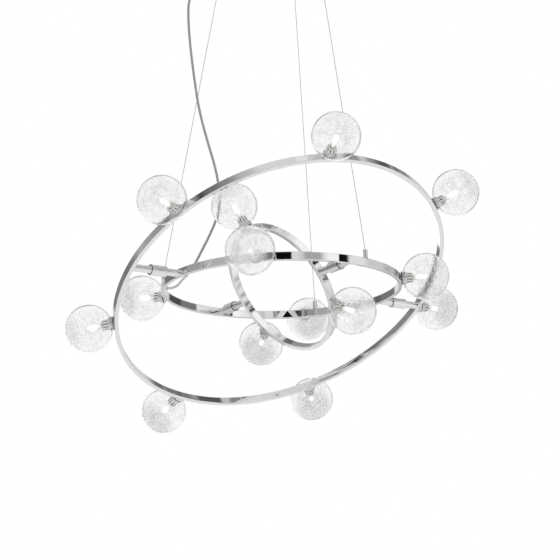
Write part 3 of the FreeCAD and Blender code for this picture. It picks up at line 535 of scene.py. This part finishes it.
def capsule_shape(a, z, r):
    """The envelope is pressed flat towards its pinch."""
    t = max(0.0, min(1.0, (28.0 * MM - z) / (5.0 * MM)))
    return r * (1.0 - 0.32 * t * abs(math.sin(a)) ** 1.5)


def pinch(a, z, r):
    """A flat, rounded bar: wide across the pins, thin the other way."""
    c, s_ = abs(math.cos(a)), abs(math.sin(a))
    return 1.0 / ((c / (5.5 * MM)) ** 4 + (s_ / (2.3 * MM)) ** 4) ** 0.25 * (r / (5.5 * MM))


pinch_profile = [(17.2, 0.0), (17.2, 5.0), (17.7, 5.5), (20.4, 5.5), (20.8, 5.2), (21.4, 5.2), (21.8, 5.5), (23.2, 5.5), (24.1, 4.6), (24.6, 3.0), (24.8, 0.0)]
bulb_glass, n, s, where = material("bulb_glass")
glow = n.noise(where, 160.0, 2.0).outputs["Fac"]
n.set(s.inputs["Base Color"], n.mix(glow, (0.24, 0.235, 0.22, 1), (0.32, 0.315, 0.30, 1)))
n.set(s.inputs["Roughness"], wear(n, where, 300.0, 0.3, 0.45))
n.set(s.inputs["Emission Color"], n.mix(glow, (1.0, 0.975, 0.94, 1), (1.0, 0.99, 0.97, 1)))
round_off = n.smooth(n.new("ShaderNodeLayerWeight", Blend=0.5).outputs["Facing"], 0.05, 0.85, 1.0, 0.42)
# the lamp fades towards its pinch
lamp = n.new("ShaderNodeAttribute")
lamp.attribute_name = "lamp_frame"
along = n.new("ShaderNodeSeparateXYZ")
n.set(along.inputs[0], lamp.outputs["Vector"])
round_off = n.math("MULTIPLY", round_off, n.smooth(along.outputs[2], 0.026, 0.037, 0.45, 1.0))
n.set(s.inputs["Emission Strength"], n.math("MULTIPLY", round_off, n.linear(glow, 0.3, 0.7, 1.25, 1.45)))
pinch_glass, n, s, where = material("bulb_pinch")
n.set(s.inputs["Base Color"], n.mix(n.noise(where, 400.0, 3.0).outputs["Fac"], (0.80, 0.80, 0.78, 1), (0.95, 0.94, 0.92, 1)))
n.set(s.inputs["Roughness"], wear(n, where, 300.0, 0.15, 0.3))
s.inputs["Transmission Weight"].default_value = 0.5
n.set(s.inputs["Normal"], n.bump(n.noise(where, 500.0, 2.0).outputs["Fac"], 0.6, 0.0001))

for kind in ("outer", "middle", "inner"):
    body = "frame" if kind == "middle" else kind + "_ring"
    holders, contacts, bulbs, pinches, plain = [], [], [], [], []
    for k, (axis, foot) in enumerate(circle_frames(kind)):
        fm = frame_of(axis, foot, 0.4 + 0.9 * k)
        v, f = lathe([(z * MM, r * MM) for z, r in holder_profile], 120, holder_shape, closed=True)
        holders.append((moved(v, fm), f))
        plain.append(v)
        for v, f in pin_slots:
            contacts.append((moved(v, fm), f))
        capsule, f = lathe([(z * MM, r * MM) for z, r in envelope], 36, capsule_shape)
        bulbs.append((moved(capsule, fm), f))
        v, f = lathe([(z * MM, r * MM) for z, r in pinch_profile], 40, pinch)
        pinches.append((moved(v, fm), f))
    o = mesh_object("lampholders_%s_ceramic" % kind, *joined(holders), ceramic, body, "holder_ceramic")
    o.data.materials.append(flute_painted_shade)
    # the faces down in the flutes, which take the painted shade
    inside = np.concatenate([np.array([v[2] > 12.6 * MM and 8.0 * MM < math.hypot(v[0], v[1]) < 9.35 * MM and v[2] < 21.3 * MM for v in one]) for one in plain])
    for face in o.data.polygons:
        if all(inside[i] for i in face.vertices):
            face.material_index = 1
    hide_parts("lampholders_" + kind)
    mesh_object("lampholders_%s_contacts" % kind, *joined(contacts), brass, body, "holder_ceramic")
    o = mesh_object("bulbs_%s_capsules" % kind, *joined(bulbs), bulb_glass, body, "bulb_glass", angle=50)
    own = o.data.attributes.new("lamp_frame", "FLOAT_VECTOR", "POINT")
    own.data.foreach_set("vector", np.tile(np.array(capsule), (len(bulbs), 1)).astype(np.float32).ravel())
    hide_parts("bulbs_" + kind)
    mesh_object("bulbs_%s_pinches" % kind, *joined(pinches), pinch_glass, body, "bulb_glass", angle=40)

# ------------------------------------------------------------------ CAD pieces that show as they are
steel = chrome("zinc_steel", 0.72, (0.25, 0.42), 0.00003)
dark = chrome("dark_steel", 0.28, (0.18, 0.35), 0.00002)
cups, n, s, where = material("cup_chrome_painted_rim_shade")
haze = n.noise(where, 38.0, 4.0).outputs["Fac"]
spot = n.new("ShaderNodeNewGeometry")
away = []
for operation in ("SUBTRACT", "NORMALIZE", "DOT_PRODUCT"):
    step = n.new("ShaderNodeVectorMath")
    step.operation = operation
    n.set(step.inputs[0], away[-1].outputs[0] if away else spot.outputs["Position"])
    away.append(step)
away[0].inputs[1].default_value = tuple(C)
n.set(away[2].inputs[1], spot.outputs["True Normal"])
length = n.new("ShaderNodeVectorMath")
length.operation = "LENGTH"
n.set(length.inputs[0], away[0].outputs[0])
far = length.outputs["Value"]
# painted shade: a near-black band is painted round each lamp cup's rim, on its sideways faces
rim_painted_shade = 0.0
for ring_radius in (335.5, 234.0, 135.5):
    low, high = (ring_radius + 0.8) * MM, (ring_radius + 3.6) * MM
    rim_painted_shade = n.math("MAXIMUM", rim_painted_shade, n.math("MULTIPLY", n.smooth(far, low, low + 0.0002), n.smooth(far, high - 0.0002, high, 1.0, 0.0)))
rim_painted_shade = n.math("MULTIPLY", rim_painted_shade, n.smooth(n.math("ABSOLUTE", away[2].outputs["Value"]), 0.5, 0.6, 1.0, 0.0))
top = n.smooth(away[2].outputs["Value"], 0.85, 0.95)
n.set(s.inputs["Metallic"], n.math("MULTIPLY_ADD", top, -0.45, 0.7))
n.set(s.inputs["Base Color"], n.mix(rim_painted_shade, n.mix(n.linear(haze, 0.3, 0.7), (0.88, 0.885, 0.89, 1), (0.92, 0.925, 0.93, 1)), (0.03, 0.03, 0.032, 1)))
n.set(s.inputs["Roughness"], wear(n, where, 90.0, 0.03, 0.09))
n.set(s.inputs["Normal"], n.bump(n.noise(where, 30.0, 1.0).outputs["Fac"], 1.0, 0.00002))
# painted shade: the near and far pivot parts get a darker copy of the turned chrome
turned_chrome_painted_shade = chrome("chrome_turned_painted_shade", 0.78, (0.03, 0.08), 0.00002)
bush = plastic("black_bush", (0.020, 0.020, 0.022), (0.010, 0.010, 0.011), (0.30, 0.5))
block = plastic("terminal_plastic", (0.86, 0.86, 0.83), (0.78, 0.78, 0.75))
leads = plastic("lead_insulation", (0.82, 0.82, 0.79), (0.72, 0.72, 0.70))
clear = plastic("clear_fitting", (0.93, 0.94, 0.94), (0.86, 0.87, 0.87), (0.08, 0.2), 700.0, 0.00003, Transmission_Weight=0.7, IOR=1.4)
for name, o in nodes.items():
    if o.hide_render:
        continue
    if name.endswith("_bush"):
        mat = bush
    elif name.startswith("grub_screws"):
        mat = dark
    elif name == "ceiling_bracket":
        mat = steel
    elif name == "terminal_block":
        mat = block
    elif name.endswith("_wiring"):
        mat = leads
    elif name in ("canopy_cord_grip", "ring_cord_gland"):
        mat = clear
    elif name == "canopy_cover":
        mat = CANOPY
    elif name.startswith("lamp_cups"):
        mat = cups
    elif "stub" in name or "barrel" in name or "grips" in name:
        # the near and far pivot parts take the darker copy, which is painted shade
        mat = turned_chrome_painted_shade if name.startswith(("near", "far")) else CHROME_FINE
    else:
        mat = CHROME
    o.data.materials.clear()
    o.data.materials.append(mat)

# ------------------------------------------------------------------ floor and light
fl, n, s, where = material("floor")
n.set(s.inputs["Base Color"], n.mix(n.noise(where, 3.0, 4.0).outputs["Fac"], (0.88, 0.88, 0.88, 1), (0.92, 0.92, 0.92, 1)))
n.set(s.inputs["Roughness"], wear(n, where, 6.0, 0.7, 0.85))
me = bpy.data.meshes.new("floor")
ring = [(2.1 * math.cos(2 * math.pi * i / 96), 2.1 * math.sin(2 * math.pi * i / 96), -2.15) for i in range(96)]
me.from_pydata(ring, [], [tuple(range(96))])
me.materials.append(fl)
floor = bpy.data.objects.new("floor", me)
scene.collection.objects.link(floor)

# The studio as polished metal sees it: pale panels, greys between them and a few black flags.
# Angles are round the lamp: 0 towards the viewer of the photograph, + to their right; height above the horizon.
world = bpy.data.worlds.new("studio")
scene.world = world
world.use_nodes = True
world.node_tree.nodes.clear()
n = Nodes(world.node_tree)
out = n.new("ShaderNodeOutputWorld")
direction = n.new("ShaderNodeTexCoord").outputs["Generated"]
turned = n.t.nodes.new("ShaderNodeVectorRotate")
turned.rotation_type = "Z_AXIS"
n.set(turned.inputs["Vector"], direction)
turned.inputs["Angle"].default_value = math.radians(33.84)
xyz = n.new("ShaderNodeSeparateXYZ")
n.set(xyz.inputs[0], turned.outputs[0])
az = n.math("MULTIPLY", n.math("ARCTAN2", xyz.outputs[0], n.math("MULTIPLY", xyz.outputs[1], -1.0)), 180 / math.pi)
el = n.math("MULTIPLY", n.math("ARCSINE", xyz.outputs[2]), 180 / math.pi)


def tone(level, metal=0.92):
    """A grey level on screen as light."""
    c = level / 255.0
    return (c / 12.92 if c <= 0.04045 else ((c + 0.055) / 1.055) ** 2.4) / metal


def panel(value, level, az0, az1, el0, el1, soft_az, soft_el):
    """Lays a panel over what is there: az0 to az1 round, el0 to el1 up."""
    mid, half = (az0 + az1) / 2.0, (az1 - az0) / 2.0
    off = n.math("SUBTRACT", az, mid)
    off = n.math("ABSOLUTE", n.math("WRAP", off, 180.0, -180.0))
    a = n.smooth(off, half - soft_az / 2, half + soft_az / 2, 1.0, 0.0)
    b = n.smooth(el, el0 - soft_el / 2, el0 + soft_el / 2)
    c = n.smooth(el, el1 - soft_el / 2, el1 + soft_el / 2, 1.0, 0.0)
    mask = n.math("MULTIPLY", a, n.math("MULTIPLY", b, c))
    return n.math("ADD", value, n.math("MULTIPLY", mask, n.math("SUBTRACT", tone(level), value)))


light = n.smooth(el, -30.0, 75.0, tone(200), tone(208))
for card in (
    # level, round from and to, up from and to, softness round and up
    (258, 164, 209, -8, 13, 9, 6),
    (172, 148, 164, -4, 13, 4, 4),
    (206, -130, -110, -34, -20, 6, 6),
    (226, -131, -119.5, -34, -26, 3, 2),
    (160, -118.5, -111, -26, -20, 3, 2),
    (224, 126, 152, -66, -52, 6, 3),
    (121, -146.5, -99, -16, 20, 5, 9),
    (125, -152.5, -140, 2, 8, 4, 1),
    (116, -153.5, -142, 11.5, 14.95, 4, 0.3),
    (112, -145, -100.5, 13.3, 14.95, 3, 0.3),
    (96, -119, -110.5, 12.9, 14.0, 3, 0.5),
    (148, -99, -81, 15, 36, 8, 6),
    (131, -104, -72, 14.7, 24.7, 10, 7),
    (172, -77, -51, 10, 23, 12, 6),
    (115, -89, -67, 25, 40, 4, 10),
    (120, -73, -58, 36.5, 43.5, 6, 2.5),
    (66, -72, -57, 41, 52.5, 10, 4),
    (112, -66, -42, 47, 62, 10, 2.4),
    (160, -55, -33, 48, 56, 11, 6),
    (176, -53, -29, 59, 66.5, 8, 10),
    (10, -14, 11.6, 14.4, 30, 1.2, 0.6),
    (122, -11.9, -9.9, 4, 14.4, 0.4, 0.6),
    (100, -14.2, -11.9, 4, 14.4, 0.4, 0.6),
    (9, -16, -14.2, 4, 14.4, 0.4, 0.6),
    (68, -19.8, -16, 4, 14.4, 0.6, 0.6),
    (158, -22.2, -19.8, 4, 14.4, 0.6, 0.6),
    (116, -26.3, -22.2, 4, 14.4, 0.8, 0.6),
    (142, -34, -26.3, 4, 14.4, 1, 0.6),
    (160, -48, -34, 4, 14.4, 6, 0.6),
    (9, -9.9, 4.7, 4, 14.4, 0.6, 0.6),
    (152, 5.0, 9.5, 4, 14.4, 0.8, 0.6),
    (213, 10, 17, 4, 24, 2, 3),
    (162, 21.5, 38.7, 14.4, 24, 6, 0.6),
    (189, 18.6, 22, 4, 14.4, 3, 0.6),
    (228, 30, 47, 4, 14.4, 4, 0.6),
    (241, 42.3, 60.4, 4, 70, 10, 6),
    (16, 55.8, 68.9, 9, 29, 1.2, 4.6),
    (84, 52, 60, 4, 14.4, 1.7, 0.6),
    (173, 61, 70, 17, 33, 9, 4),
    (220, 66, 97, -10, 26, 5, 5.4),
    (80, 72, 80, 4.3, 11, 4, 7),
    (198, 87, 114, 14.4, 26, 9, 0.6),
    (175, 112, 119, 14.7, 26, 5, 0.8),
    (207, 118.5, 132.5, 14.35, 26, 2.5, 0.4),
    (128, 137.5, 152, 14.2, 27, 8, 1.7),
    (114, 97.3, 125.7, 4, 14.3, 3.2, 0.6),
    (74, 123.2, 152.6, 4, 14.3, 3.4, 0.8),
    (211, 159, 170, 4, 30.5, 5.6, 3),
    (116, 124.5, 137, 36.5, 45, 3, 2),
    (106, 134, 149.5, 25, 38, 10.7, 7),
    (117, 134, 150, 37.6, 42.5, 4.4, 3.8),
    (119, 112.6, 130, 43.4, 51, 4.5, 6),
    (81, 125, 137, 43.7, 53.4, 4.3, 3.8),
    (136, 120, 127, 48, 57.5, 9, 1),
    (84, 87, 114, 50, 62, 9.5, 3.5),
    (148, 107, 113, 56, 62, 6.5, 3.4),
    (187, 78, 89, 59, 64.7, 5.8, 4),
    (130, 65, 80, 61, 68.6, 4.8, 2.3),
    (103, 54, 63.6, 64, 69, 4.8, 3),
    (191, 59, 82, 69.5, 76, 4, 3),
    (142, -176, -151, 28, 72, 11, 7),
    (102, -159, -137, 70, 89, 7, 10),
    (227, 33, 54, 65.4, 76.3, 6.3, 8),
    (172, 84.6, 101.7, -22, -10.7, 3.8, 1),
    (232, 91.5, 116, -26, -13.7, 6.4, 6),
    (140, 70, 108, 28, 42, 8, 6),
    (236, 68, 90, -34, -12, 8, 6),
    (226, 62.5, 66.5, 20.5, 25, 1, 1),
    (8, 60.5, 65.5, 25.5, 31, 2, 0.6),
    (90, 95.4, 99, -12.2, -10.9, 1, 0.5),
    (178, 168, 182, -22, -12, 5, 4),
):
    light = panel(light, *card)
rays = n.new("ShaderNodeLightPath")
polished = n.new("ShaderNodeBackground")
n.set(polished.inputs["Color"], light)
# what glass bends and what lights the dull surfaces: an even pale room, a little darker overhead and underfoot
room = n.new("ShaderNodeBackground")
steep = n.math("ABSOLUTE", el)
n.set(room.inputs["Color"], n.smooth(steep, 30.0, 85.0, 1.0, 0.62))
white = n.new("ShaderNodeBackground")
white.inputs["Color"].default_value = (1, 1, 1, 1)
first = n.new("ShaderNodeMixShader")
straight = n.math("MULTIPLY", rays.outputs["Is Transmission Ray"], n.math("LESS_THAN", rays.outputs["Glossy Depth"], 0.5))
n.set(first.inputs[0], n.math("MULTIPLY", rays.outputs["Is Glossy Ray"], n.math("SUBTRACT", 1.0, straight)))
n.t.links.new(room.outputs[0], first.inputs[1])
n.t.links.new(polished.outputs[0], first.inputs[2])
mixed = n.new("ShaderNodeMixShader")
n.set(mixed.inputs[0], rays.outputs["Is Camera Ray"])
n.t.links.new(first.outputs[0], mixed.inputs[1])
n.t.links.new(white.outputs[0], mixed.inputs[2])
n.t.links.new(mixed.outputs[0], out.inputs["Surface"])
